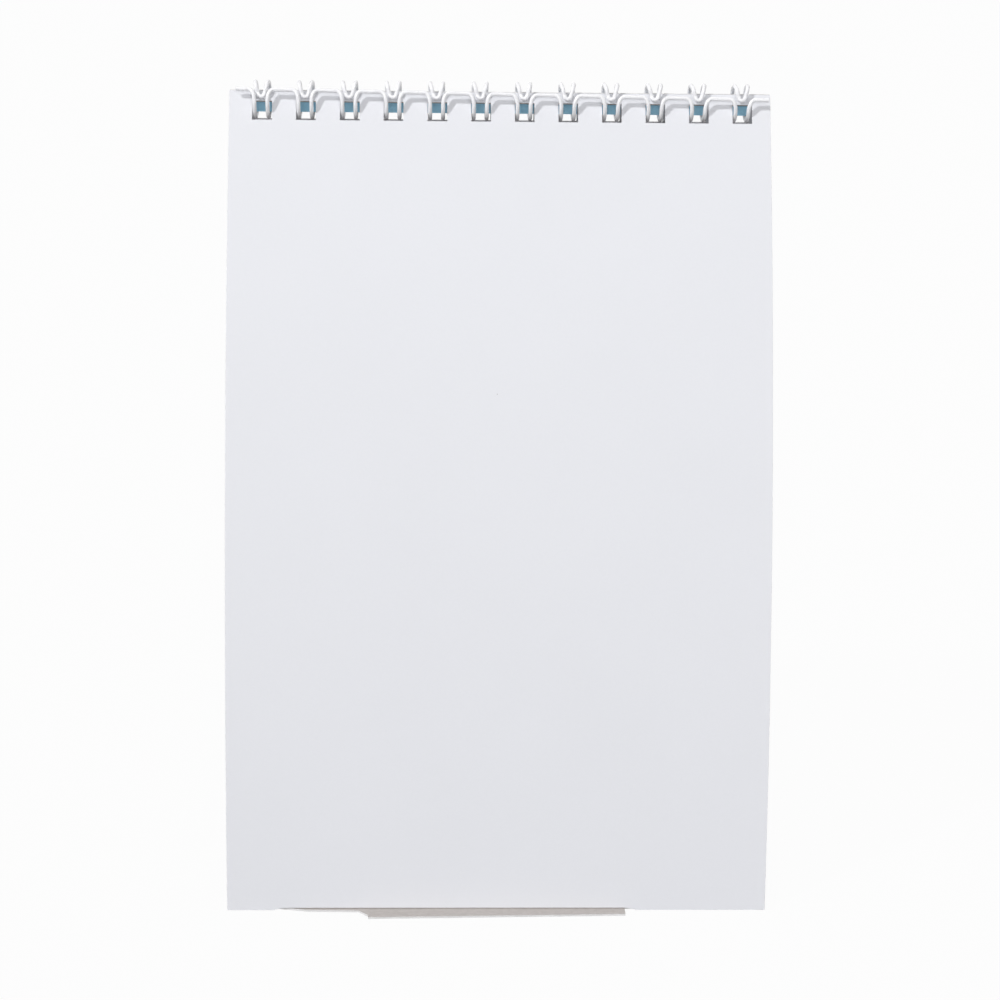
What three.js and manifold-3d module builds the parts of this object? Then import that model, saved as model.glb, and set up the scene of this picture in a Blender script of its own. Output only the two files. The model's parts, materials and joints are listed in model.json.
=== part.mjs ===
// A desk calendar that stands as a tent: a bowed rear card, a front card, a creased base panel with a tongue,
// seven leaves hung on the front, and one wire-comb binding along the top.
// Millimetres, +X along the binding, +Y towards the leaves, +Z up. The desk is the plane z = 0, and the origin
// is on the base panel's underside, straight below the binding's axis.
import * as THREE from 'three';
import { mergeVertices } from 'three/addons/utils/BufferGeometryUtils.js';
import Module from 'manifold-3d';

// Cards of the stand
const CARD_WIDTH = 105;
const REAR_CARD_LENGTH = 159.9;
const CARD_THICKNESS = 0.4;
const REAR_LEAN = THREE.MathUtils.degToRad(14);
const FRONT_LEAN = THREE.MathUtils.degToRad(15.4);
const BOW_ANGLE = THREE.MathUtils.degToRad(10);
const REAR_STANDOFF = 1.2;
const FRONT_STANDOFF = 0.15;
const FOOT_CLEARANCE = 0.05;
const CREASE_GAP = 0.3;

// Punching
const HOLE_PITCH = 25.4 / 3;
const HOLE_SIZE = 3.8;
const HOLE_MARGIN = 2;
const HOLE_END_MARGIN = 3;
const HOLE_ROW_SHIFT = 0.45;

// Leaves
const LEAF_COUNT = 7;
const LEAF_SHORTFALL = 5;
const LEAF_THICKNESS = 0.12;
const LEAF_GAP = 0.05;
const STACK_GAP = 0.1;

// Tongue of the base panel
const TONGUE_WIDTH = 50;
const TONGUE_REACH_LEFT = 3.8;
const TONGUE_REACH_RIGHT = 2.4;
const TONGUE_CLEARANCE = 0.1;
const NOTCH_RAMP_LEFT = 18;
const NOTCH_RAMP_RIGHT = 2;
const NOTCH_STEP = 0.12;

// Binding wire: each hairpin loop leaves the straight spine and runs once round the ring, and its tip is tucked
// inside the ring. The spine winds a little round the ring from the left end to the right.
const WIRE_DIAMETER = 0.8;
const RING_OUTER_DIAMETER = 7.5;
const REAR_WIRE_CLEARANCE = 1.1;
const FRONT_WIRE_CLEARANCE = 0.35;
const LEAF_HANG_CLEARANCE = 0.06;
const SPINE_ANGLE_LEFT = THREE.MathUtils.degToRad(141);
const SPINE_ANGLE_RIGHT = THREE.MathUtils.degToRad(163);
const SPINE_BEND = 1.2;
const SPINE_BEND_RUN = 2.3;
const LOOP_HALF_SPACING = 1.25;
const LOOP_SHIFT = -0.15;
const TIP_ANGLE = THREE.MathUtils.degToRad(163);
const TIP_BEND = 0.6;
const TIP_TUCK = 0.87;
const TIP_TAPER = THREE.MathUtils.degToRad(52);
const STUB_LEFT = 5.05;
const STUB_RIGHT = 4.95;
const TAPER_POWER = 1.6;
const RING_STEPS = 20;
const BEND_STEPS = 3;
const WIRE_SIDES = 6;
const CARD_BOW_STEPS = 24;

// Places worked out from the sizes above. u is a distance down a card, measured from the binding's axis.
const ringRadius = (RING_OUTER_DIAMETER - WIRE_DIAMETER) / 2;
const ringInside = ringRadius - WIRE_DIAMETER / 2;
const ringOutside = RING_OUTER_DIAMETER / 2;
const punchReach = HOLE_MARGIN + HOLE_SIZE;
const rearTopU = Math.sqrt(ringOutside ** 2 - REAR_STANDOFF ** 2) + REAR_WIRE_CLEARANCE - punchReach;
const frontTopU = Math.sqrt(ringOutside ** 2 - FRONT_STANDOFF ** 2) + FRONT_WIRE_CLEARANCE - punchReach;

// The rear card is an arc. Its outward normal is tipped up by an angle that falls from top to foot.
const bowRadius = REAR_CARD_LENGTH / (2 * BOW_ANGLE);
const rearTopTip = REAR_LEAN + BOW_ANGLE;
const rearFootTip = REAR_LEAN - BOW_ANGLE;
const outward = (tip) => new THREE.Vector3(0, -Math.cos(tip), Math.sin(tip));
const upward = (tip) => new THREE.Vector3(0, Math.sin(tip), Math.cos(tip));
const bowCentre = outward(rearTopTip).multiplyScalar(REAR_STANDOFF + CARD_THICKNESS / 2 - bowRadius)
  .addScaledVector(upward(rearTopTip), -rearTopU);
const rearFootOuter = bowCentre.clone().addScaledVector(outward(rearFootTip), bowRadius + CARD_THICKNESS / 2);
const rearFootInner = bowCentre.clone().addScaledVector(outward(rearFootTip), bowRadius - CARD_THICKNESS / 2);
const ringHeight = FOOT_CLEARANCE - Math.min(rearFootInner.z, rearFootOuter.z);

// The front card is as long as it must be for its inner face to meet the top of the base panel at the crease.
const creaseHeight = ringHeight - CARD_THICKNESS;
const creaseU = (creaseHeight + FRONT_STANDOFF * Math.sin(FRONT_LEAN)) / Math.cos(FRONT_LEAN);
const creaseY = creaseU * Math.sin(FRONT_LEAN) + FRONT_STANDOFF * Math.cos(FRONT_LEAN);
const frontCardLength = creaseU - frontTopU;
const leafLength = frontCardLength - LEAF_SHORTFALL;

// As many holes as the card's width takes, in a row that sits a little right of the card's middle.
const holeCount = Math.floor((CARD_WIDTH - HOLE_SIZE - 2 * HOLE_END_MARGIN) / HOLE_PITCH) + 1;
const holeCentres = Array.from(
  { length: holeCount },
  (_, i) => HOLE_ROW_SHIFT + (i - (holeCount - 1) / 2) * HOLE_PITCH,
);

const wasm = await Module();
wasm.setup();

function toSolid(geometry) {
  const bare = geometry.clone();
  bare.deleteAttribute('normal');
  bare.deleteAttribute('uv');
  const merged = mergeVertices(bare, 1e-5);
  return new wasm.Manifold(new wasm.Mesh({
    numProp: 3,
    vertProperties: Float32Array.from(merged.attributes.position.array),
    triVerts: Uint32Array.from(merged.index.array),
  }));
}

function toGeometry(solid) {
  const mesh = solid.getMesh();
  const geometry = new THREE.BufferGeometry();
  geometry.setAttribute('position', new THREE.BufferAttribute(Float32Array.from(mesh.vertProperties), 3));
  geometry.setIndex(new THREE.BufferAttribute(Uint32Array.from(mesh.triVerts), 1));
  geometry.computeVertexNormals();
  return geometry;
}

function finish(color, roughness, metalness) {
  return new THREE.MeshStandardMaterial({ color, roughness, metalness });
}

function named(name, geometry, material) {
  const mesh = new THREE.Mesh(geometry, material);
  mesh.name = name;
  return mesh;
}

// An outline in the upright plane across the binding, carried along X over the card's whole width.
function acrossWidth(outline, curveSegments) {
  const geometry = new THREE.ExtrudeGeometry(outline, { depth: CARD_WIDTH, bevelEnabled: false, curveSegments });
  const axes = new THREE.Matrix4().makeBasis(
    new THREE.Vector3(0, 1, 0),
    new THREE.Vector3(0, 0, 1),
    new THREE.Vector3(1, 0, 0),
  );
  return geometry.applyMatrix4(axes).translate(-CARD_WIDTH / 2, 0, 0);
}

function rearCardGeometry() {
  const outline = new THREE.Shape();
  const topAngle = Math.PI - rearTopTip;
  const footAngle = Math.PI - rearFootTip;
  outline.absarc(bowCentre.y, bowCentre.z, bowRadius + CARD_THICKNESS / 2, topAngle, footAngle, false);
  outline.absarc(bowCentre.y, bowCentre.z, bowRadius - CARD_THICKNESS / 2, footAngle, topAngle, true);
  let card = toSolid(acrossWidth(outline, CARD_BOW_STEPS));

  const punchTip = rearTopTip - (HOLE_MARGIN + HOLE_SIZE / 2) / bowRadius;
  const punchCentre = bowCentre.clone().addScaledVector(outward(punchTip), bowRadius);
  for (const x of holeCentres) {
    const punch = new THREE.BoxGeometry(HOLE_SIZE, HOLE_SIZE, HOLE_SIZE);
    punch.rotateX(-punchTip).translate(x, punchCentre.y, punchCentre.z);
    card = card.subtract(toSolid(punch));
  }
  return toGeometry(card.subtract(toSolid(notchGeometry())));
}

// The shallow notch in the rear card's lower edge that lets the tongue through.
function notchGeometry() {
  const top = CARD_THICKNESS + TONGUE_CLEARANCE - ringHeight;
  const below = -ringHeight - CARD_THICKNESS;
  const step = FOOT_CLEARANCE + NOTCH_STEP - ringHeight;
  const half = TONGUE_WIDTH / 2 + TONGUE_CLEARANCE;
  const outline = new THREE.Shape([
    new THREE.Vector2(-half - NOTCH_RAMP_LEFT, below),
    new THREE.Vector2(half + NOTCH_RAMP_RIGHT, below),
    new THREE.Vector2(half + NOTCH_RAMP_RIGHT, step),
    new THREE.Vector2(half, top),
    new THREE.Vector2(-half, top),
    new THREE.Vector2(-half - NOTCH_RAMP_LEFT, step),
  ]);
  const depth = 10 * CARD_THICKNESS;
  const notch = new THREE.ExtrudeGeometry(outline, { depth, bevelEnabled: false });
  return notch.rotateX(Math.PI / 2).translate(0, rearFootOuter.y + depth / 2, 0);
}

// A flat punched sheet hanging from the axis: its inner face is at y = face and its top edge at u = topU.
function punchedSheet(face, topU, footU, thickness) {
  const middle = face + thickness / 2;
  const blank = new THREE.BoxGeometry(CARD_WIDTH, thickness, footU - topU);
  let sheet = toSolid(blank.translate(0, middle, -(topU + footU) / 2));
  for (const x of holeCentres) {
    const punch = new THREE.BoxGeometry(HOLE_SIZE, HOLE_SIZE, HOLE_SIZE);
    sheet = sheet.subtract(toSolid(punch.translate(x, middle, -topU - HOLE_MARGIN - HOLE_SIZE / 2)));
  }
  return toGeometry(sheet);
}

function frontCardGeometry() {
  return punchedSheet(FRONT_STANDOFF, frontTopU, creaseU - CREASE_GAP / 2, CARD_THICKNESS);
}

// Each leaf hangs with the upper edge of its holes just above the wire, so the outer leaves hang higher.
function leafGeometry(index) {
  const face = FRONT_STANDOFF + CARD_THICKNESS + STACK_GAP + index * (LEAF_THICKNESS + LEAF_GAP);
  const hangU = Math.sqrt(ringInside ** 2 - (face + LEAF_THICKNESS) ** 2) - LEAF_HANG_CLEARANCE;
  const topU = hangU - HOLE_MARGIN;
  return punchedSheet(face, topU, topU + leafLength, LEAF_THICKNESS);
}

function basePanelGeometry() {
  const half = CARD_WIDTH / 2;
  const tongue = TONGUE_WIDTH / 2;
  const far = rearFootInner.y + CREASE_GAP;
  const outline = new THREE.Shape([
    new THREE.Vector2(half, creaseY - CREASE_GAP / 2),
    new THREE.Vector2(-half, creaseY - CREASE_GAP / 2),
    new THREE.Vector2(-half, far),
    new THREE.Vector2(-tongue, far),
    new THREE.Vector2(-tongue, rearFootOuter.y - TONGUE_REACH_LEFT),
    new THREE.Vector2(tongue, rearFootOuter.y - TONGUE_REACH_RIGHT),
    new THREE.Vector2(tongue, far),
    new THREE.Vector2(half, far),
  ]);
  return new THREE.ExtrudeGeometry(outline, { depth: CARD_THICKNESS, bevelEnabled: false });
}

// A point of the wire's centre line, by its place along the binding, its angle round the axis from +Y and how deep
// it is tucked inside the ring. Angles grow from the spine down the near side and round to the tips.
function wirePoint(x, angle, tuck) {
  const radius = ringRadius - tuck;
  return new THREE.Vector3(x, radius * Math.cos(angle), radius * Math.sin(angle));
}

// The spine's angle at a place along the binding, which changes evenly from the first hole to the last.
function spineAngle(x) {
  const first = holeCentres[0];
  const last = holeCentres[holeCount - 1];
  return THREE.MathUtils.lerp(SPINE_ANGLE_LEFT, SPINE_ANGLE_RIGHT, (x - first) / (last - first));
}

// Half a hairpin: a long bend out of the spine, once round the ring, and in to the tip, where the two arms meet.
function halfLoop(centre, side, ringSteps, bendSteps) {
  const spine = spineAngle(centre + side * (LOOP_HALF_SPACING + SPINE_BEND));
  const points = [];
  for (let i = 0; i <= bendSteps; i += 1) {
    const turn = (i / bendSteps) * Math.PI / 2;
    const x = LOOP_HALF_SPACING + SPINE_BEND * (1 - Math.sin(turn));
    points.push([x, spine + SPINE_BEND_RUN * (1 - Math.cos(turn)) / ringRadius, 0]);
  }
  const tipRadius = ringRadius - TIP_TUCK;
  const ringStart = spine + SPINE_BEND_RUN / ringRadius;
  const ringEnd = 2 * Math.PI + TIP_ANGLE - TIP_BEND / tipRadius;
  for (let i = 1; i <= ringSteps; i += 1) {
    const angle = ringStart + (ringEnd - ringStart) * (i / ringSteps);
    const taper = THREE.MathUtils.clamp(1 - (ringEnd - angle) / TIP_TAPER, 0, 1) ** TAPER_POWER;
    const tucking = THREE.MathUtils.smoothstep(angle, ringEnd - TIP_TAPER / 2, ringEnd);
    points.push([THREE.MathUtils.lerp(LOOP_HALF_SPACING, TIP_BEND, taper), angle, TIP_TUCK * tucking]);
  }
  for (let i = 1; i <= bendSteps; i += 1) {
    const turn = (i / bendSteps) * Math.PI / 2;
    points.push([TIP_BEND * Math.cos(turn), ringEnd + TIP_BEND * Math.sin(turn) / tipRadius, TIP_TUCK]);
  }
  return points.map(([x, angle, tuck]) => wirePoint(centre + side * x, angle, tuck));
}

function wirePath(ringSteps, bendSteps) {
  const leftEnd = holeCentres[0] - STUB_LEFT;
  const rightEnd = holeCentres[holeCount - 1] + STUB_RIGHT;
  const path = [wirePoint(leftEnd, spineAngle(leftEnd), 0)];
  for (const hole of holeCentres) {
    const centre = hole + LOOP_SHIFT;
    path.push(...halfLoop(centre, -1, ringSteps, bendSteps));
    path.push(...halfLoop(centre, 1, ringSteps, bendSteps).reverse().slice(1));
  }
  path.push(wirePoint(rightEnd, spineAngle(rightEnd), 0));
  return path;
}

// One unbroken tube along the path, its sections turned to the direction away from the binding's axis.
function wireGeometry() {
  const path = wirePath(RING_STEPS, BEND_STEPS);
  const last = path.length - 1;
  const positions = [];
  const indices = [];
  path.forEach((point, i) => {
    const before = path[Math.max(i - 1, 0)];
    const after = path[Math.min(i + 1, last)];
    const back = point.clone().sub(before).normalize();
    const tangent = after.clone().sub(point).normalize().add(back).normalize();
    const away = new THREE.Vector3(0, point.y, point.z);
    away.addScaledVector(tangent, -away.dot(tangent)).normalize();
    const side = new THREE.Vector3().crossVectors(tangent, away);
    for (let k = 0; k < WIRE_SIDES; k += 1) {
      const turn = (2 * Math.PI * k) / WIRE_SIDES;
      const rim = point.clone().addScaledVector(away, Math.cos(turn) * WIRE_DIAMETER / 2)
        .addScaledVector(side, Math.sin(turn) * WIRE_DIAMETER / 2);
      positions.push(...rim.toArray());
    }
  });
  for (let i = 0; i < last; i += 1) {
    for (let k = 0; k < WIRE_SIDES; k += 1) {
      const a = i * WIRE_SIDES + k;
      const b = i * WIRE_SIDES + ((k + 1) % WIRE_SIDES);
      indices.push(a, b, a + WIRE_SIDES, b, b + WIRE_SIDES, a + WIRE_SIDES);
    }
  }
  const endRim = last * WIRE_SIDES;
  for (let k = 1; k < WIRE_SIDES - 1; k += 1) {
    indices.push(0, k + 1, k);
    indices.push(endRim, endRim + k, endRim + k + 1);
  }
  const geometry = new THREE.BufferGeometry();
  geometry.setAttribute('position', new THREE.Float32BufferAttribute(positions, 3));
  geometry.setIndex(indices);
  geometry.computeVertexNormals();
  return geometry;
}

// The least clear distance between two stretches of the wire that are not neighbours along it.
function leastWireGap() {
  const fine = new THREE.CurvePath();
  const path = wirePath(4 * RING_STEPS, 4 * BEND_STEPS);
  for (let i = 1; i < path.length; i += 1) {
    fine.add(new THREE.LineCurve3(path[i - 1], path[i]));
  }
  const lengths = [0, ...fine.getCurveLengths()];
  const neighbourhood = 3 * WIRE_DIAMETER;
  let least = Infinity;
  for (let i = 0; i < path.length; i += 1) {
    for (let j = i + 1; j < path.length; j += 1) {
      if (lengths[j] - lengths[i] > neighbourhood) {
        least = Math.min(least, path[i].distanceTo(path[j]));
      }
    }
  }
  return least - WIRE_DIAMETER;
}

function build() {
  const card = finish(0xecedf1, 0.6, 0);
  const cover = finish(0x7a9cb2, 0.5, 0);
  const paper = finish(0xf2f2f0, 0.65, 0);
  const coatedWire = finish(0xe6e7ea, 0.35, 0.2);

  const calendar = new THREE.Group();
  const binding = new THREE.Group();
  binding.position.z = ringHeight;
  binding.add(named('rear_card', rearCardGeometry(), card));
  binding.add(named('binding_wire', wireGeometry(), coatedWire));

  const front = new THREE.Group();
  front.rotation.x = FRONT_LEAN;
  front.add(named('front_card', frontCardGeometry(), card.clone()));
  for (let index = 0; index < LEAF_COUNT - 1; index += 1) {
    front.add(named(`month_leaf_${index + 1}`, leafGeometry(index), paper.clone()));
  }
  front.add(named('cover_leaf', leafGeometry(LEAF_COUNT - 1), cover));
  binding.add(front);
  calendar.add(binding);

  calendar.add(named('base_panel', basePanelGeometry(), card.clone()));
  return calendar;
}

console.log(`least gap of the wire to itself: ${leastWireGap().toFixed(3)} mm`);
console.log(`binding axis height ${ringHeight.toFixed(4)}, front card length ${frontCardLength.toFixed(4)}`);
console.log(`crease line at y ${creaseY.toFixed(4)}, z ${CARD_THICKNESS}`);

export default build();
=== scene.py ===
"""A small desk calendar: a folding card tent with hanging leaves, bound along its top with a white wire."""
import json
import math

import bpy
import numpy as np
from mathutils import Matrix, Vector


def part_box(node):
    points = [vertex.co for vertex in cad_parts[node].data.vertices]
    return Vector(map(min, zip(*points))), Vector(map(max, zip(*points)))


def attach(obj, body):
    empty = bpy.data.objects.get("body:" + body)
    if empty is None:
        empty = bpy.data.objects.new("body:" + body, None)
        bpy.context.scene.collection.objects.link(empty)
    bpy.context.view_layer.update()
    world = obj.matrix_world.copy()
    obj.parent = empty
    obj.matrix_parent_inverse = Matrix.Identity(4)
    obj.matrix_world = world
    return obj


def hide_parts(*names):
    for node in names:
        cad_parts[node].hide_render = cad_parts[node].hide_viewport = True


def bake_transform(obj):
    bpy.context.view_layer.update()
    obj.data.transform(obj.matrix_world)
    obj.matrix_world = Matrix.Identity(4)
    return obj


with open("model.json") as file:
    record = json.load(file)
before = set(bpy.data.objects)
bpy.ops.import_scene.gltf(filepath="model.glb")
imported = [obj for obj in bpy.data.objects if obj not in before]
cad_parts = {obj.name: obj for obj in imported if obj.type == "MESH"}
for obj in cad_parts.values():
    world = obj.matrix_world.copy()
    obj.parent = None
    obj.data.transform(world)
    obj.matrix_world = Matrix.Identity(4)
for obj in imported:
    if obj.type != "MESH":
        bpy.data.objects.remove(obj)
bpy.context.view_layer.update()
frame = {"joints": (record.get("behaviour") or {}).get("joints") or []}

# Camera
# The calendar is seen from its blank side through a long lens, from a little above the desk and a little
# left of its middle. The lens is given for a square picture.
camera_azimuth = math.radians(1.605)
camera_elevation = math.radians(15.02)
camera_roll = math.radians(-0.66)
camera_distance = 0.440
camera_target = np.array([0.0003, -0.01858, 0.0774])
sensor_width_mm = 36
lens_mm = 81.05
nearest, farthest = 0.01, 50

look = np.array([
    math.sin(camera_azimuth) * math.cos(camera_elevation),
    math.cos(camera_azimuth) * math.cos(camera_elevation),
    -math.sin(camera_elevation),
])
level = np.array([math.cos(camera_azimuth), -math.sin(camera_azimuth), 0.0])
above = np.cross(level, look)
camera_axes = np.eye(4)
camera_axes[:3, 0] = level * math.cos(camera_roll) - above * math.sin(camera_roll)
camera_axes[:3, 1] = level * math.sin(camera_roll) + above * math.cos(camera_roll)
camera_axes[:3, 2] = -look
camera_axes[:3, 3] = camera_target - camera_distance * look
camera = bpy.data.objects.new("camera", bpy.data.cameras.new("camera"))
camera.data.sensor_width = sensor_width_mm
camera.data.lens = lens_mm
camera.data.clip_start = nearest
camera.data.clip_end = farthest
bpy.context.scene.collection.objects.link(camera)
camera.matrix_world = Matrix(camera_axes)
bpy.context.scene.camera = camera

# Desk top and light
# A pale matt table and a white surround. A wide soft window stands behind the camera and a weaker one
# opposite, under a dim even sky, and one small lamp far round to the left gives the narrow shadows of the
# wire.
desk_half_size = 8.0
desk_height = -0.00002
desk_colour = (0.33, 0.33, 0.34, 1)
surround_share = 0.97
sky_at_horizon = 0.2
sky_overhead = 0.5
front_window = 2.4
back_window = 1.6
window_edge = math.cos(math.radians(41))
window_heart = math.cos(math.radians(18))
lamp_elevation = math.radians(41.4)
lamp_from_left = math.radians(49.6)
lamp_strength = 1.8
lamp_angle = math.radians(5)


def node(tree, kind, inputs, **settings):
    """A new shader node: settings are its options, and inputs gives each socket a plain value or an
    output to join."""
    made = tree.nodes.new("ShaderNode" + kind)
    for name, value in settings.items():
        setattr(made, name, value)
    for key, value in inputs.items():
        if isinstance(value, bpy.types.NodeSocket):
            tree.links.new(value, made.inputs[key])
        else:
            made.inputs[key].default_value = value
    return made


def calculate(tree, operation, *values):
    """The result of one arithmetic step on plain values or outputs."""
    return node(tree, "Math", dict(enumerate(values)), operation=operation).outputs[0]


def background_rays(tree):
    """1 for rays that see the surround directly, in a reflection or through glass, else 0."""
    path = node(tree, "LightPath", {})
    seen = calculate(tree, "MAXIMUM", path.outputs["Is Camera Ray"], path.outputs["Is Glossy Ray"])
    return calculate(tree, "MAXIMUM", seen, path.outputs["Is Transmission Ray"])


desk_finish = bpy.data.materials.new("desk_top")
desk_finish.use_nodes = True
tree = desk_finish.node_tree
tree.nodes.remove(tree.nodes["Principled BSDF"])
matt = node(tree, "BsdfDiffuse", {"Color": desk_colour})
glow = node(tree, "Emission", {"Color": (1, 1, 1, 1), "Strength": 1.0})
share = calculate(tree, "MULTIPLY", background_rays(tree), surround_share)
both = node(tree, "MixShader", {0: share, 1: matt.outputs[0], 2: glow.outputs[0]})
tree.links.new(both.outputs[0], tree.nodes["Material Output"].inputs["Surface"])

corners = desk_half_size * np.array([[-1, -1, 0], [1, -1, 0], [1, 1, 0], [-1, 1, 0]])
corners[:, 2] = desk_height
desk_mesh = bpy.data.meshes.new("desk_top")
desk_mesh.from_pydata(corners.tolist(), [], [(0, 1, 2, 3)])
desk_mesh.materials.append(desk_finish)
desk = bpy.data.objects.new("desk_top", desk_mesh)
bpy.context.scene.collection.objects.link(desk)

world = bpy.data.worlds.new("surround")
world.use_nodes = True
bpy.context.scene.world = world
tree = world.node_tree
direction = node(tree, "TexCoord", {}).outputs["Generated"]
way = node(tree, "SeparateXYZ", {0: direction})
sky = node(tree, "MapRange", {"Value": way.outputs["Z"], "To Min": sky_at_horizon,
                              "To Max": sky_overhead}).outputs[0]
for side, strength in ((-1, front_window), (1, back_window)):
    window = node(tree, "MapRange", {"Value": way.outputs["Y"], "From Min": side * window_edge,
                                     "From Max": side * window_heart, "To Min": 0.0, "To Max": strength},
                  interpolation_type="SMOOTHSTEP").outputs[0]
    sky = calculate(tree, "ADD", sky, window)
sky_light = tree.nodes["Background"]
sky_light.inputs["Color"].default_value = (1, 1, 1, 1)
tree.links.new(sky, sky_light.inputs["Strength"])
white = node(tree, "Background", {"Color": (1, 1, 1, 1), "Strength": 1.0})
both = node(tree, "MixShader", {0: background_rays(tree), 1: sky_light.outputs[0], 2: white.outputs[0]})
tree.links.new(both.outputs[0], tree.nodes["World Output"].inputs["Surface"])

lamp_direction = Vector((
    -math.sin(lamp_from_left) * math.cos(lamp_elevation),
    -math.cos(lamp_from_left) * math.cos(lamp_elevation),
    math.sin(lamp_elevation),
))
lamp = bpy.data.objects.new("lamp", bpy.data.lights.new("lamp", "SUN"))
lamp.data.energy = lamp_strength
lamp.data.angle = lamp_angle
lamp.rotation_euler = lamp_direction.to_track_quat("Z", "Y").to_euler()
bpy.context.scene.collection.objects.link(lamp)

# Rear card
# One sheet of grey board wrapped in white coated paper that is turned in along the punched edge. A knife
# die cuts it, with its twelve square holes and the shallow notch in its foot. It stands bowed, as the
# tongue holds its foot.
mm = 0.001
ring_axis = Vector(next(j["pos_m"] for j in frame["joints"] if j["name"] == "stand_fold"))
card_low, card_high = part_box("rear_card")
card_half_width = (card_high.x - card_low.x) / 2
card_thickness = 0.4 * mm
rear_standoff = 1.2 * mm
rear_length = 159.9 * mm
rear_lean = math.radians(14)
half_bow = math.radians(10)
hole_pitch = 25.4 / 3 * mm
hole_size = 3.8 * mm
hole_margin = 2 * mm
hole_row_shift = 0.45 * mm
hole_count = 12
hole_centres = hole_row_shift + (np.arange(hole_count) - (hole_count - 1) / 2) * hole_pitch
ring_outside = 7.5 / 2 * mm
rear_wire_clearance = 1.1 * mm
notch_step = 0.12 * mm
notch_height = 0.45 * mm
notch_reach_left = 41.2 * mm
notch_reach_right = 25.1 * mm
notch_ramp = 2 * mm
notch_band = 2 * mm
side_row = 0.01 * mm
card_white = (0.757, 0.765, 0.80)
board_grey = (0.473, 0.44, 0.42)
turn_in = 14 * mm
turn_in_waver = 0.5 * mm
core_white = (0.74, 0.735, 0.73)
speck_grey = (0.25, 0.24, 0.23, 1)
speck_spacing = 11 * mm
speck_radius = 0.121 * mm
specks_left_out = 0.7
speck_strength = 0.45
eased_corner = 0.04 * mm
smoothed_below = math.radians(35)
eased_above = math.radians(50)
card_columns = 15
card_rows = 72

punch_reach = hole_margin + hole_size
bow_radius = rear_length / (2 * half_bow)
top_tip = rear_lean + half_bow
foot_tip = rear_lean - half_bow
rear_top = math.sqrt(ring_outside ** 2 - rear_standoff ** 2) + rear_wire_clearance - punch_reach
middle_radius_offset = rear_standoff + card_thickness / 2 - bow_radius
bow_centre_y = ring_axis.y - math.cos(top_tip) * middle_radius_offset - math.sin(top_tip) * rear_top
bow_centre_z = ring_axis.z + math.sin(top_tip) * middle_radius_offset - math.cos(top_tip) * rear_top


def new_finish(name, colour, roughness):
    """A new material with a plain colour and roughness to build on, with its tree and surface shader."""
    finish = bpy.data.materials.new(name)
    finish.use_nodes = True
    surface = finish.node_tree.nodes["Principled BSDF"]
    surface.inputs["Base Color"].default_value = (*colour, 1)
    surface.inputs["Roughness"].default_value = roughness
    return finish, finish.node_tree, surface


def noise(tree, grain, detail):
    """A noise between 0 and 1 whose lumps are about grain metres across, fixed to the piece."""
    place = node(tree, "TexCoord", {}).outputs["Object"]
    return node(tree, "TexNoise", {"Vector": place, "Scale": 1 / grain, "Detail": detail}).outputs["Fac"]


def spread(tree, lumps, low, high):
    """The middle half of a noise, where nearly all of it lies, stretched to run from low to high."""
    return node(tree, "MapRange", {"Value": lumps, "From Min": 0.25, "From Max": 0.75,
                                   "To Min": low, "To Max": high}).outputs[0]


def toned(tree, colour, **marks):
    """colour made lighter and darker by one noise for each mark, which is the noise's grain, its detail,
    and the swing that it gives to either side."""
    for grain, detail, swing in marks.values():
        tone = spread(tree, noise(tree, grain, detail), 1 - swing, 1 + swing)
        colour = node(tree, "VectorMath", {0: colour, "Scale": tone}, operation="SCALE").outputs[0]
    return colour


def roughened(tree, surface, grain, detail, low, high, depth):
    """Sets the roughness between low and high and a bump of this depth in metres, both by one noise."""
    lumps = noise(tree, grain, detail)
    tree.links.new(spread(tree, lumps, low, high), surface.inputs["Roughness"])
    bump = node(tree, "Bump", {"Strength": 1.0, "Distance": depth, "Height": lumps})
    tree.links.new(bump.outputs[0], surface.inputs["Normal"])


def white_coating(tree, colour):
    """The tone of clay-coated white paper: faint clouds and a fine tooth."""
    return toned(tree, (*colour,), clouds=(22 * mm, 2, 0.006), tooth=(0.5 * mm, 2, 0.006))


def mixed(tree, share, first, second):
    """The colour between two others at this share of the second."""
    return node(tree, "Mix", {0: share, 6: first, 7: second}, data_type="RGBA").outputs[2]


def coated_card(name, colour):
    """Clay-coated card with a few grey specks of filler, one at the middle of some cells of a Voronoi
    pattern."""
    finish, tree, surface = new_finish(name, colour, 0.5)
    tone = white_coating(tree, colour)
    place = node(tree, "TexCoord", {}).outputs["Object"]
    cells = node(tree, "TexVoronoi", {"Vector": place, "Scale": 1 / speck_spacing}, feature="F1")
    near = calculate(tree, "LESS_THAN", cells.outputs["Distance"], speck_radius / speck_spacing)
    cell_number = node(tree, "SeparateXYZ", {0: cells.outputs["Color"]}).outputs[0]
    chosen = calculate(tree, "GREATER_THAN", cell_number, specks_left_out)
    speck = calculate(tree, "MULTIPLY", calculate(tree, "MULTIPLY", near, chosen), speck_strength)
    tree.links.new(mixed(tree, speck, tone, speck_grey), surface.inputs["Base Color"])
    roughened(tree, surface, grain=0.35 * mm, detail=3, low=0.42, high=0.55, depth=0.004 * mm)
    return finish


def page_place(tree):
    """Where a point lies on its sheet: across it as X, down it as Y."""
    page = node(tree, "Attribute", {}, attribute_name="page").outputs["Vector"]
    return node(tree, "SeparateXYZ", {0: page}).outputs


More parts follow.
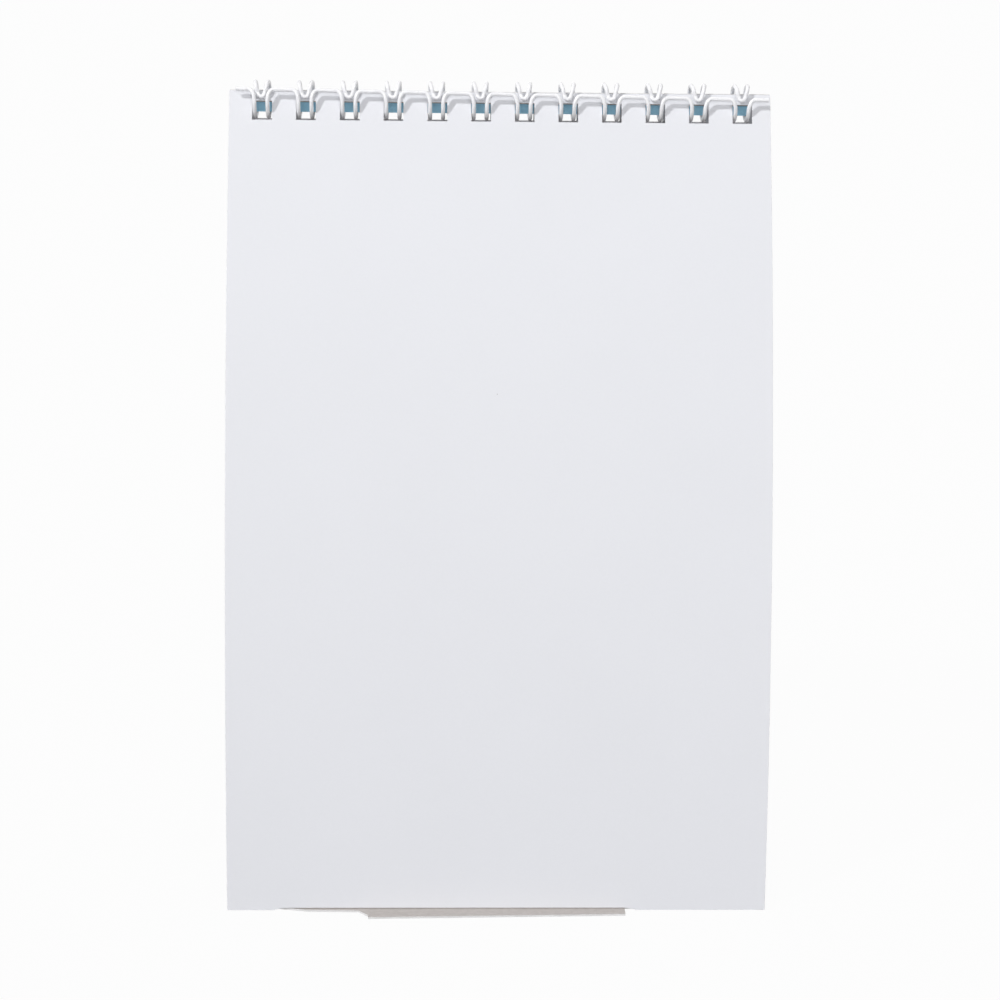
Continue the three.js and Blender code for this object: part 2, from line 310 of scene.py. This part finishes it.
def grey_backed(name, colour, bare, depth):
    """The inner face: the white wrap is turned in for this depth along the punched edge, and past it lies
    bare grey board, flecked with darker and lighter fibres."""
    finish, tree, surface = new_finish(name, bare, 0.8)
    board = toned(tree, (*bare,), clouds=(12 * mm, 2, 0.02), fibres=(0.9 * mm, 4, 0.07))
    wavering = calculate(tree, "MULTIPLY", noise(tree, 6 * mm, 2), turn_in_waver)
    wrapped = calculate(tree, "LESS_THAN", calculate(tree, "ADD", page_place(tree)["Y"], wavering), depth)
    tree.links.new(mixed(tree, wrapped, board, white_coating(tree, colour)), surface.inputs["Base Color"])
    roughened(tree, surface, grain=0.3 * mm, detail=4, low=0.65, high=0.85, depth=0.012 * mm)
    return finish


def card_core(name, colour):
    """The cut edge of card or paper: torn pulp fibres, duller and greyer than the faces."""
    finish, tree, surface = new_finish(name, colour, 0.85)
    tone = toned(tree, (*colour,), clouds=(1.2 * mm, 2, 0.05), fibres=(0.12 * mm, 3, 0.1))
    tree.links.new(tone, surface.inputs["Base Color"])
    roughened(tree, surface, grain=0.1 * mm, detail=3, low=0.75, high=0.95, depth=0.02 * mm)
    return finish


def solid_object(name, points, faces, finishes, finish_of_face=None, page=None):
    """A closed mesh from arrays of points and faces. The faces are turned round if the volume comes out
    negative, and page, if it is given, is kept as an attribute with each point's own place on its
    sheet."""
    fan = np.concatenate([faces[:, [0, k, k + 1]] for k in range(1, faces.shape[1] - 1)])
    volume = np.einsum("ij,ij->", points[fan[:, 0]], np.cross(points[fan[:, 1]], points[fan[:, 2]]))
    if volume < 0:
        faces = faces[:, ::-1]
    mesh = bpy.data.meshes.new(name)
    mesh.from_pydata(points.tolist(), [], faces.tolist())
    if page is not None:
        mesh.attributes.new("page", "FLOAT_VECTOR", "POINT").data.foreach_set("vector", page.ravel())
    for finish in finishes:
        mesh.materials.append(finish)
    if finish_of_face is not None:
        mesh.polygons.foreach_set("material_index", finish_of_face)
    mesh.polygons.foreach_set("use_smooth", np.ones(len(faces), bool))
    mesh.update(calc_edges=True)
    mesh.set_sharp_from_angle(angle=smoothed_below)
    made = bpy.data.objects.new(name, mesh)
    bpy.context.scene.collection.objects.link(made)
    return made


def cut_sheet(name, across, along, kept, place, thickness, finishes):
    """A closed sheet on a grid. across and along are the grid's lines over the width and down the length,
    and kept(x, s) says which cells the cutter leaves. Each kept cell has an outer and an inner face, and
    each border of the kept cells has a wall. place(x, s, d) gives a point from its place on the sheet and
    its depth in it, and finishes are those of the outer faces, the inner faces and the walls."""
    x, s = np.meshgrid(across, along, indexing="ij")
    middles = (across[1:] + across[:-1]) / 2, (along[1:] + along[:-1]) / 2
    centre_x, centre_s = np.meshgrid(*middles, indexing="ij")
    cells = kept(centre_x, centre_s)
    padded = np.pad(cells, 1)
    inner = np.arange(x.size).reshape(x.shape)
    outer = inner + x.size

    def corners_of(mask, *corners):
        """One quad for each cell in mask. A corner is its layer and its step from the first corner."""
        i, j = np.nonzero(mask)
        return np.stack([layer[i + a, j + b] for layer, a, b in corners], axis=1)

    open_before_x = cells & ~padded[:-2, 1:-1]
    open_after_x = cells & ~padded[2:, 1:-1]
    open_before_s = cells & ~padded[1:-1, :-2]
    open_after_s = cells & ~padded[1:-1, 2:]
    outer_faces = corners_of(cells, (outer, 0, 0), (outer, 0, 1), (outer, 1, 1), (outer, 1, 0))
    inner_faces = corners_of(cells, (inner, 0, 0), (inner, 1, 0), (inner, 1, 1), (inner, 0, 1))
    walls = np.concatenate([
        corners_of(open_before_x, (inner, 0, 0), (inner, 0, 1), (outer, 0, 1), (outer, 0, 0)),
        corners_of(open_after_x, (inner, 1, 1), (inner, 1, 0), (outer, 1, 0), (outer, 1, 1)),
        corners_of(open_before_s, (inner, 1, 0), (inner, 0, 0), (outer, 0, 0), (outer, 1, 0)),
        corners_of(open_after_s, (inner, 0, 1), (inner, 1, 1), (outer, 1, 1), (outer, 0, 1)),
    ])
    quads = np.concatenate([outer_faces, inner_faces, walls])
    x, s = np.tile(x.ravel(), 2), np.tile(s.ravel(), 2)
    d = np.repeat([0.0, thickness], inner.size)
    used, quads = np.unique(quads, return_inverse=True)
    quads = quads.reshape(-1, 4)
    points = place(x, s, d)[used]
    page = np.stack([x, s, d], axis=1)[used]
    finish_of_face = np.repeat([0, 1, 2], [len(outer_faces), len(inner_faces), len(walls)])
    return solid_object(name, points, quads, finishes, finish_of_face, page)


def hole_lines():
    """The lines over the width at the two sides of each punched hole."""
    return np.concatenate([hole_centres - hole_size / 2, hole_centres + hole_size / 2])


def outside_holes(x, s):
    """True where a cell is not one of the punched holes."""
    beside = np.abs(x[..., None] - hole_centres).min(-1) > hole_size / 2
    return beside | (s < hole_margin) | (s > punch_reach)


def notch_rise(x):
    """How far the notch rises above the card's foot at x: a level run, a ramp at either end, and a small
    step up to where each ramp begins."""
    return np.interp(x, notch_line, [0.0, notch_step, notch_height, notch_height, notch_step, 0.0])


def on_rear_card(x, s, d):
    """A point on the arc: s runs down from the top edge and d outwards from the inner face. The last rows
    close up towards the top of the notch."""
    in_band = np.clip((s - (rear_length - notch_band)) / notch_band, 0, 1)
    tip = top_tip - (s - in_band * notch_rise(x) / math.cos(foot_tip)) / bow_radius
    radius = bow_radius - card_thickness / 2 + d
    return np.stack([x, bow_centre_y - radius * np.cos(tip), bow_centre_z + radius * np.sin(tip)], axis=1)


def eased(piece, width):
    """Breaks the sharp cut corners of a card by this width."""
    bevel = piece.modifiers.new("eased_edges", "BEVEL")
    bevel.width = width
    bevel.segments = 2
    bevel.limit_method = "ANGLE"
    bevel.angle_limit = eased_above
    bevel.harden_normals = True


notch_left, notch_right = -notch_reach_left - notch_ramp, notch_reach_right + notch_ramp
notch_line = np.array([notch_left - side_row, notch_left, -notch_reach_left,
                       notch_reach_right, notch_right, notch_right + side_row])
white_card = coated_card("white_card", card_white)
grey_board = grey_backed("grey_board", card_white, board_grey, turn_in)
white_card_core = card_core("white_card_core", core_white)
card_finishes = [white_card, grey_board, white_card_core]
sides = np.array([-card_half_width, card_half_width])
even_lines = np.linspace(-card_half_width, card_half_width, card_columns)
across = np.unique(np.concatenate([sides, hole_lines(), notch_line, even_lines]))
rows = np.linspace(punch_reach, rear_length - notch_band, card_rows)
along = np.concatenate([[0.0, hole_margin], rows, [rear_length]])
rear_card = cut_sheet("rear_card_sheet", across, along, outside_holes, on_rear_card, card_thickness,
                      card_finishes)
eased(rear_card, eased_corner)
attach(rear_card, "rear_card")
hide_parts("rear_card")

# Front card and base
# The front of the stand and its base are one sheet of the same card, creased where the front meets the
# desk. The base runs back to the rear card's foot. Its tongue comes out through the notch, and left of
# the tongue the base's edge shows a little too.
front_standoff = 0.15 * mm
front_wire_clearance = 0.35 * mm
crease = Vector(next(j["pos_m"] for j in frame["joints"] if j["name"] == "base_fold"))
tongue_half_width = 25 * mm
tongue_reach_left = 3.8 * mm
tongue_reach_right = 2.4 * mm
base_foot_gap = 0.3 * mm
base_edge_line = np.array([-42.4, -37.0, -27.0, -25.0, -24.9]) * mm
base_edge_out = np.array([0.0, 1.2, 1.5, 3.6, 0.0]) * mm
front_rows = 40
base_rows = 20
crease_half_length = 0.35 * mm
crease_rows = 9

front_top = math.sqrt(ring_outside ** 2 - front_standoff ** 2) + front_wire_clearance - punch_reach
crease_drop = ring_axis.z - crease.z
crease_out = crease.y - ring_axis.y
crease_distance = math.hypot(crease_out, crease_drop)
front_lean = math.atan2(crease_out, crease_drop) - math.asin(front_standoff / crease_distance)
front_length = math.sqrt(crease_distance ** 2 - front_standoff ** 2) - front_top
rear_foot_outer = bow_centre_y - (bow_radius + card_thickness / 2) * math.cos(foot_tip)
rear_foot_inner = bow_centre_y - (bow_radius - card_thickness / 2) * math.cos(foot_tip)
base_length = crease.y - (rear_foot_inner + base_foot_gap)
tongue_left = crease.y - (rear_foot_outer - tongue_reach_left)
tongue_right = crease.y - (rear_foot_outer - tongue_reach_right)


def on_front_sheet(x, s, d, first_face, top):
    """A point on a flat sheet that leans with the front card: s runs down from its top edge, which lies
    top below the ring axis along the sheet, and d outwards from its inner face, which lies first_face
    from the axis."""
    u = s + top
    e = d + first_face
    y = ring_axis.y + u * math.sin(front_lean) + e * math.cos(front_lean)
    z = ring_axis.z - u * math.cos(front_lean) + e * math.sin(front_lean)
    return np.stack([x, y, z], axis=1)


def on_folded_card(x, s, d):
    """Down the front card, round the crease with its inner face as the hinge line, and back along the
    base. The tongue's end is cut askew, so the rows past the base's edge are stretched to it, and the
    base's last row is stretched to where its edge comes out left of the tongue."""
    start, end = front_length, front_length + crease_half_length
    fold = np.clip((s - start) / (end - start), 0, 1)
    bend = front_lean - fold * (math.pi / 2 + front_lean)
    flat = on_front_sheet(x, np.minimum(s, start), 0.0 * d, front_standoff, front_top)
    tongue_share = np.clip((x + tongue_half_width) / (2 * tongue_half_width), 0, 1)
    tongue_length = tongue_left + tongue_share * (tongue_right - tongue_left)
    past_base = np.clip(s - end - base_length, 0, None) / (tongue_left - base_length)
    last_row = np.clip((s - end) / base_length * (base_rows - 1) - (base_rows - 2), 0, 1)
    back = np.clip(s - end, 0, base_length) + past_base * (tongue_length - base_length)
    back += last_row * (1 - past_base) * np.interp(x, base_edge_line, base_edge_out)
    y = flat[:, 1] + d * np.cos(bend) - back
    z = flat[:, 2] + d * np.sin(bend)
    return np.stack([x, y, z], axis=1)


def on_front_card_or_tongue(x, s):
    """True outside the punched holes and, past the base's far edge, only on the tongue."""
    past = s > front_length + crease_half_length + base_length
    return outside_holes(x, s) & (~past | (np.abs(x) < tongue_half_width))


tongue_sides = np.array([-tongue_half_width, tongue_half_width])
across = np.concatenate([sides, hole_lines(), tongue_sides, base_edge_line, even_lines])
across = np.unique(across.round(9))
crease_end = front_length + crease_half_length
along = np.concatenate([
    [0.0, hole_margin],
    np.linspace(punch_reach, front_length, front_rows),
    np.linspace(front_length, crease_end, crease_rows)[1:],
    crease_end + np.linspace(0, base_length, base_rows)[1:],
    [crease_end + tongue_left],
])
stand_card = cut_sheet("front_and_base_sheet", across, along, on_front_card_or_tongue, on_folded_card,
                       card_thickness, card_finishes)
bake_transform(stand_card)
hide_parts("front_card", "base_panel")

# Month leaves
# Six leaves of smooth paper, each printed on both sides with one month: a coloured band along the punched
# edge with the month's number reversed out of it, a grid of days in grey ink, and ruled lines for notes.
leaf_thickness = 0.12 * mm
leaf_gap = 0.05 * mm
stack_gap = 0.1 * mm
leaf_shortfall = 5 * mm
leaf_hang_clearance = 0.06 * mm
wire_diameter = 0.8 * mm
ring_inside = ring_outside - wire_diameter
leaf_length = front_length - leaf_shortfall
leaf_rows = 32
curl_per_leaf = 0.16 * mm
corner_curl = 0.5
ink_height = 0.008 * mm
ink_sink = 0.004 * mm
band_depth = 31 * mm
band_colours = [
    (0.41, 0.77, 0.98),
    (0.36, 0.16, 0.12),
    (0.52, 0.50, 0.46),
    (0.50, 0.30, 0.29),
    (0.24, 0.34, 0.27),
    (0.50, 0.36, 0.16),
]
paper_white = (0.80, 0.80, 0.79)
edge_grey = (0.66, 0.65, 0.63)
ink_grey = (0.06, 0.062, 0.07)
rule_grey = (0.42, 0.43, 0.45, 1)
rule_half_width = 0.09 * mm
rule_margin = 8 * mm
first_rule, last_rule, rule_spacing = 131 * mm, 147 * mm, 8 * mm
digit_curve_steps = 3
day_ink, heading_ink, rest_day_ink = 0, 1, 2
heading_indent = 0.55
days_in_month = [31, 28, 31, 30, 31, 30, 31, 31, 30, 31, 30, 31]
days_in_week = 7


def leaf_place(index):
    """The function that places points on leaf number index, counted from the front card. The leaf hangs
    with the upper edge of its holes just above the wire, and its foot curls outwards by the cube of the
    distance down."""
    face = front_standoff + card_thickness + stack_gap + index * (leaf_thickness + leaf_gap)
    hang = math.sqrt(ring_inside ** 2 - (face + leaf_thickness) ** 2) - leaf_hang_clearance
    top = hang - hole_margin

    def on_leaf(x, s, d):
        share = np.clip(s / leaf_length, 0, 1)
        corner = 1 + corner_curl * (x / card_half_width) ** 2
        curl = curl_per_leaf * index * share ** 3 * corner
        return on_front_sheet(x, s, d + curl, face, top)

    return on_leaf


def printed_paper(name, colour, depth):
    """Smooth paper with a printed band of this colour down to depth from the punched edge, and fine ruled
    lines for notes. A rule is where the distance down the page, folded to and fro over half the spacing,
    is near zero."""
    finish, tree, surface = new_finish(name, paper_white, 0.6)
    spot = page_place(tree)
    bare = toned(tree, (*paper_white,), clouds=(16 * mm, 2, 0.006), tooth=(0.3 * mm, 3, 0.012))
    inked = toned(tree, (*colour,), clouds=(9 * mm, 2, 0.03), mottle=(0.2 * mm, 3, 0.05))
    below_first = calculate(tree, "GREATER_THAN", spot["Y"], first_rule - rule_spacing / 4)
    above_last = calculate(tree, "LESS_THAN", spot["Y"], last_rule + rule_spacing / 4)
    down_from_first = calculate(tree, "SUBTRACT", spot["Y"], first_rule)
    from_rule = calculate(tree, "PINGPONG", down_from_first, rule_spacing / 2)
    on_rule = calculate(tree, "LESS_THAN", from_rule, rule_half_width)
    from_middle = calculate(tree, "ABSOLUTE", spot["X"])
    inside_margin = calculate(tree, "LESS_THAN", from_middle, card_half_width - rule_margin)
    rule = calculate(tree, "MULTIPLY", calculate(tree, "MULTIPLY", below_first, above_last), on_rule)
    rule = calculate(tree, "MULTIPLY", rule, inside_margin)
    in_band = calculate(tree, "LESS_THAN", spot["Y"], depth)
    printed = mixed(tree, in_band, mixed(tree, rule, bare, rule_grey), inked)
    tree.links.new(printed, surface.inputs["Base Color"])
    roughened(tree, surface, grain=0.25 * mm, detail=3, low=0.48, high=0.62, depth=0.005 * mm)
    return finish


def printing_ink(name, colour):
    """Offset ink: nearly even, with the fine mottle of the paper showing through."""
    finish, tree, surface = new_finish(name, colour, 0.45)
    tree.links.new(toned(tree, (*colour,), mottle=(0.18 * mm, 3, 0.08)), surface.inputs["Base Color"])
    roughened(tree, surface, grain=0.25 * mm, detail=3, low=0.4, high=0.52, depth=0.003 * mm)
    return finish


numerals = {}


def numeral(text):
    """The points and triangles of a thin closed plate in the shape of text, one unit of digit height
    tall, centred across and standing on its base line. Each text is made once and kept."""
    if text not in numerals:
        curve = bpy.data.curves.new("numeral", "FONT")
        curve.body = text
        curve.align_x = "CENTER"
        curve.resolution_u = digit_curve_steps
        curve.extrude = 0.5
        holder = bpy.data.objects.new("numeral", curve)
        bpy.context.scene.collection.objects.link(holder)
        bpy.context.view_layer.update()
        evaluated = holder.evaluated_get(bpy.context.evaluated_depsgraph_get())
        mesh = bpy.data.meshes.new_from_object(evaluated)
        mesh.calc_loop_triangles()
        points = np.zeros(len(mesh.vertices) * 3)
        mesh.vertices.foreach_get("co", points)
        triangles = np.zeros(len(mesh.loop_triangles) * 3, int)
        mesh.loop_triangles.foreach_get("vertices", triangles)
        points, kept = np.unique(points.reshape(-1, 3).round(6), axis=0, return_inverse=True)
        triangles = kept.ravel()[triangles].reshape(-1, 3)
        has_area = (triangles != np.roll(triangles, 1, axis=1)).all(axis=1)
        numerals[text] = points, triangles[has_area]
        bpy.data.objects.remove(holder)
        bpy.data.curves.remove(curve)
        bpy.data.meshes.remove(mesh)
    return numerals[text]


digit_height = numeral("1")[0][:, 1].max()


def month_numerals(month, left, top, column, row, size, heading_size, heading_drop):
    """What one month's page says, as (text, place from the page's left edge, place from its top, size,
    ink). The first day falls where the days of the earlier months leave off, and each week is a row."""
    heading_left = left + heading_size * heading_indent
    said = [(str(month + 1), heading_left, top - heading_drop, heading_size, heading_ink)]
    first_column = sum(days_in_month[:month]) % days_in_week
    for day in range(days_in_month[month]):
        week, weekday = divmod(first_column + day, days_in_week)
        ink = rest_day_ink if weekday == days_in_week - 1 else day_ink
        said.append((str(day + 1), left + (weekday + 0.5) * column, top + week * row, size, ink))
    return said


def printed_side(said, on_page, face_depth, reads):
    """The ink of one side of a page. on_page places a point of the sheet, face_depth is the depth of that
    side's face, and reads is -1 on the side that reads towards -X and 1 on the side that reads towards
    +X."""
    points, triangles, inks, count = [], [], [], 0
    for text, x, s, size, ink in said:
        shape, plate = numeral(text)
        scale = size / digit_height
        sheet_x = reads * (x - card_half_width + shape[:, 0] * scale)
        depth = np.where(shape[:, 2] > 0, ink_height, -ink_sink)
        points.append(on_page(sheet_x, s - shape[:, 1] * scale, face_depth - reads * depth))
        triangles.append(plate + count)
        inks.append(np.full(len(plate), ink))
        count += len(shape)
    return np.concatenate(points), np.concatenate(triangles), np.concatenate(inks)


def printed_piece(name, sides_of_page, inks):
    """Both printed sides of a leaf as one piece, each side turned to face out by its own volume."""
    points, triangles, ink_of_face, count = [], [], [], 0
    for side_points, side_triangles, side_inks in sides_of_page:
        a, b, c = (side_points[side_triangles[:, k]] for k in range(3))
        if np.einsum("ij,ij->", a, np.cross(b, c)) < 0:
            side_triangles = side_triangles[:, ::-1]
        points.append(side_points)
        triangles.append(side_triangles + count)
        ink_of_face.append(side_inks)
        count += len(side_points)
    points, triangles = np.concatenate(points), np.concatenate(triangles)
    return solid_object(name, points, triangles, inks, np.concatenate(ink_of_face))


leaf_core = card_core("paper_edge", edge_grey)
reversed_white = printing_ink("reversed_white", paper_white)
grey_ink = printing_ink("grey_ink", ink_grey)
across = np.unique(np.concatenate([sides, hole_lines(), even_lines]))
along = np.concatenate([[0.0, hole_margin], np.linspace(punch_reach, leaf_length, leaf_rows)])
month_layout = dict(left=9 * mm, top=49 * mm, column=87 / days_in_week * mm, row=14.5 * mm, size=4.4 * mm,
                    heading_size=14 * mm, heading_drop=24 * mm)
for index, colour in enumerate(band_colours):
    node_name = f"month_leaf_{index + 1}"
    on_leaf = leaf_place(index)
    paper = printed_paper(f"leaf_{index + 1}_paper", colour, band_depth)
    leaf = cut_sheet(f"leaf_{index + 1}_sheet", across, along, outside_holes, on_leaf, leaf_thickness,
                     [paper, paper, leaf_core])
    inks = [grey_ink, reversed_white, printing_ink(f"leaf_{index + 1}_ink", colour)]
    month = 2 * (len(band_colours) - 1 - index)
    front = printed_side(month_numerals(month, **month_layout), on_leaf, leaf_thickness, -1)
    back = printed_side(month_numerals(month + 1, **month_layout), on_leaf, 0.0, 1)
    print_piece = printed_piece(f"leaf_{index + 1}_print", [front, back], inks)
    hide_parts(node_name)
    for piece in (leaf, print_piece):
        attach(piece, node_name)

# Cover leaf
# The outermost leaf is printed blue all over its front, with the whole year in small white numerals.
cover_blue = (0.19, 0.335, 0.45)
months_in_row = 3
block_left, block_top = 9 * mm, 30 * mm
block_width, block_height = 31 * mm, 32 * mm
small_layout = dict(column=25 / days_in_week * mm, row=3.6 * mm, size=1.7 * mm,
                    heading_size=3.4 * mm, heading_drop=4.6 * mm)
on_cover = leaf_place(len(band_colours))
cover_paper = printed_paper("cover_paper", cover_blue, 2 * leaf_length)
cover = cut_sheet("cover_sheet", across, along, outside_holes, on_cover, leaf_thickness,
                  [cover_paper, cover_paper, leaf_core])
said = []
for month in range(len(days_in_month)):
    block_row, block_column = divmod(month, months_in_row)
    said += month_numerals(month, left=block_left + block_column * block_width,
                           top=block_top + block_row * block_height, **small_layout)
cover_side = printed_side(said, on_cover, leaf_thickness, -1)
cover_print = printed_piece("cover_print", [cover_side], [reversed_white] * 3)
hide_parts("cover_leaf")
for piece in (cover, cover_print):
    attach(piece, "cover_leaf")

# Binding wire
# One steel wire with a white nylon coat, bent into twelve hairpin loops on a comb and closed round the
# sheets, so that the hairpins' tips tuck in beside the straight spine. Both ends are sheared off square.
ring_radius = ring_outside - wire_diameter / 2
spine_angle_left = math.radians(141)
spine_angle_right = math.radians(163)
spine_bend = 1.2 * mm
spine_bend_run = 2.3 * mm
loop_half_spacing = 1.25 * mm
loop_shift = -0.15 * mm
tip_angle = math.radians(163)
tip_bend = 0.6 * mm
tip_tuck = 0.87 * mm
tip_taper = math.radians(52)
taper_power = 1.6
stub_left = 5.05 * mm
stub_right = 4.95 * mm
ring_steps = 72
bend_steps = 8
wire_sides = 16
cut_chamfer = 0.06 * mm
nylon_white = (0.88, 0.88, 0.90)
coat_weight, coat_roughness = 0.4, 0.12
steel_grey = (0.55, 0.55, 0.56)


def smooth_step(value, low, high):
    """0 below low, 1 above high, and an S-shaped rise between them."""
    share = np.clip((value - low) / (high - low), 0, 1)
    return share * share * (3 - 2 * share)


def spine_angle(x):
    """The spine's angle round the ring axis at x: it winds evenly from the first loop to the last."""
    share = (x - hole_centres[0]) / (hole_centres[-1] - hole_centres[0])
    return spine_angle_left + share * (spine_angle_right - spine_angle_left)


def half_loop(centre, side):
    """Half a hairpin loop as rows of place along the binding, angle round the axis, and depth inside the
    ring: a long quarter bend out of the spine, once round the ring as the arm draws in, and half the
    tip's bend."""
    spine = spine_angle(centre + side * (loop_half_spacing + spine_bend))
    turn = np.linspace(0, math.pi / 2, bend_steps + 1)
    out_of_spine = np.stack([
        loop_half_spacing + spine_bend * (1 - np.sin(turn)),
        spine + spine_bend_run * (1 - np.cos(turn)) / ring_radius,
        np.zeros_like(turn),
    ], axis=1)
    tip_radius = ring_radius - tip_tuck
    ring_start = spine + spine_bend_run / ring_radius
    ring_end = 2 * math.pi + tip_angle - tip_bend / tip_radius
    angle = np.linspace(ring_start, ring_end, ring_steps + 1)[1:]
    taper = np.clip(1 - (ring_end - angle) / tip_taper, 0, 1) ** taper_power
    tucking = smooth_step(angle, ring_end - tip_taper / 2, ring_end)
    spacing = loop_half_spacing + (tip_bend - loop_half_spacing) * taper
    round_ring = np.stack([spacing, angle, tip_tuck * tucking], axis=1)
    turn = turn[1:]
    into_tip = np.stack([
        tip_bend * np.cos(turn),
        ring_end + tip_bend * np.sin(turn) / tip_radius,
        np.full_like(turn, tip_tuck),
    ], axis=1)
    return np.concatenate([out_of_spine, round_ring, into_tip]) * [side, 1, 1] + [centre, 0, 0]


def wire_path():
    """The wire's centre line: the left stub, then each loop out and back, then the right stub."""
    loops = [half for centre in hole_centres + loop_shift
             for half in (half_loop(centre, -1), half_loop(centre, 1)[::-1][1:])]
    first, last = hole_centres[0] - stub_left, hole_centres[-1] + stub_right
    end_places = first, first + cut_chamfer, last - cut_chamfer, last
    ends = np.array([[x, spine_angle(x), 0] for x in end_places])
    x, angle, tuck = np.concatenate([ends[:2], *loops, ends[2:]]).T
    radius = ring_radius - tuck
    return np.stack([x, radius * np.cos(angle), radius * np.sin(angle)], axis=1)


def wire_tube(path):
    """A round section carried along the path. Each section stands square to the path, with its first
    point on the side away from the ring axis, and the two end sections are a little smaller, as a shear
    leaves them."""
    step = np.diff(path, axis=0)
    step /= np.linalg.norm(step, axis=1, keepdims=True)
    tangent = np.concatenate([step[:1], step[:-1] + step[1:], step[-1:]])
    tangent /= np.linalg.norm(tangent, axis=1, keepdims=True)
    away = path * [0, 1, 1]
    away -= np.einsum("ij,ij->i", away, tangent)[:, None] * tangent
    away /= np.linalg.norm(away, axis=1, keepdims=True)
    beside = np.cross(tangent, away)
    radius = np.full(len(path), wire_diameter / 2)
    radius[[0, -1]] -= cut_chamfer
    turn = np.linspace(0, 2 * math.pi, wire_sides, endpoint=False)
    rim = np.cos(turn)[:, None] * away[:, None] + np.sin(turn)[:, None] * beside[:, None]
    points = path[:, None] + radius[:, None, None] * rim
    ring = np.arange(len(path) * wire_sides).reshape(len(path), wire_sides)
    beyond = np.roll(ring, -1, axis=1)
    quads = np.stack([ring[:-1], beyond[:-1], beyond[1:], ring[1:]], axis=-1).reshape(-1, 4)
    return points.reshape(-1, 3), quads, ring


def nylon_coat(name, colour):
    """White nylon on steel: smooth and glossy, with a slow ripple from dipping and faint scuffs."""
    finish, tree, surface = new_finish(name, colour, 0.3)
    tone = toned(tree, (*colour,), clouds=(2.5 * mm, 2, 0.02), scuffs=(0.3 * mm, 3, 0.015))
    tree.links.new(tone, surface.inputs["Base Color"])
    surface.inputs["Coat Weight"].default_value = coat_weight
    surface.inputs["Coat Roughness"].default_value = coat_roughness
    roughened(tree, surface, grain=0.6 * mm, detail=2, low=0.24, high=0.38, depth=0.006 * mm)
    return finish


def sheared_steel(name, colour):
    """The bare cut end of the wire, with fine score marks from the shear."""
    finish, tree, surface = new_finish(name, colour, 0.4)
    surface.inputs["Metallic"].default_value = 1.0
    tree.links.new(toned(tree, (*colour,), scores=(0.1 * mm, 3, 0.15)), surface.inputs["Base Color"])
    roughened(tree, surface, grain=0.05 * mm, detail=3, low=0.3, high=0.55, depth=0.01 * mm)
    return finish


points, quads, rings = wire_tube(wire_path())
points = points + np.array(ring_axis)
cap_centres = np.stack([points[rings[0]].mean(0), points[rings[-1]].mean(0)])
points = np.concatenate([points, cap_centres])
caps = []
for k in range(0, wire_sides, 2):
    a, b, c = k, (k + 1) % wire_sides, (k + 2) % wire_sides
    caps.append([len(points) - 2, rings[0][c], rings[0][b], rings[0][a]])
    caps.append([len(points) - 1, rings[-1][a], rings[-1][b], rings[-1][c]])
faces = np.concatenate([quads, np.array(caps)])
finish_of_face = np.repeat([0, 1], [len(quads), len(caps)])
wire_finishes = [nylon_coat("white_nylon", nylon_white), sheared_steel("sheared_steel", steel_grey)]
wire = solid_object("binding_wire_tube", points, faces, wire_finishes, finish_of_face)
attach(wire, "binding_wire")
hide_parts("binding_wire")

# Look of the pictures
bpy.context.scene.view_settings.view_transform = "Standard"
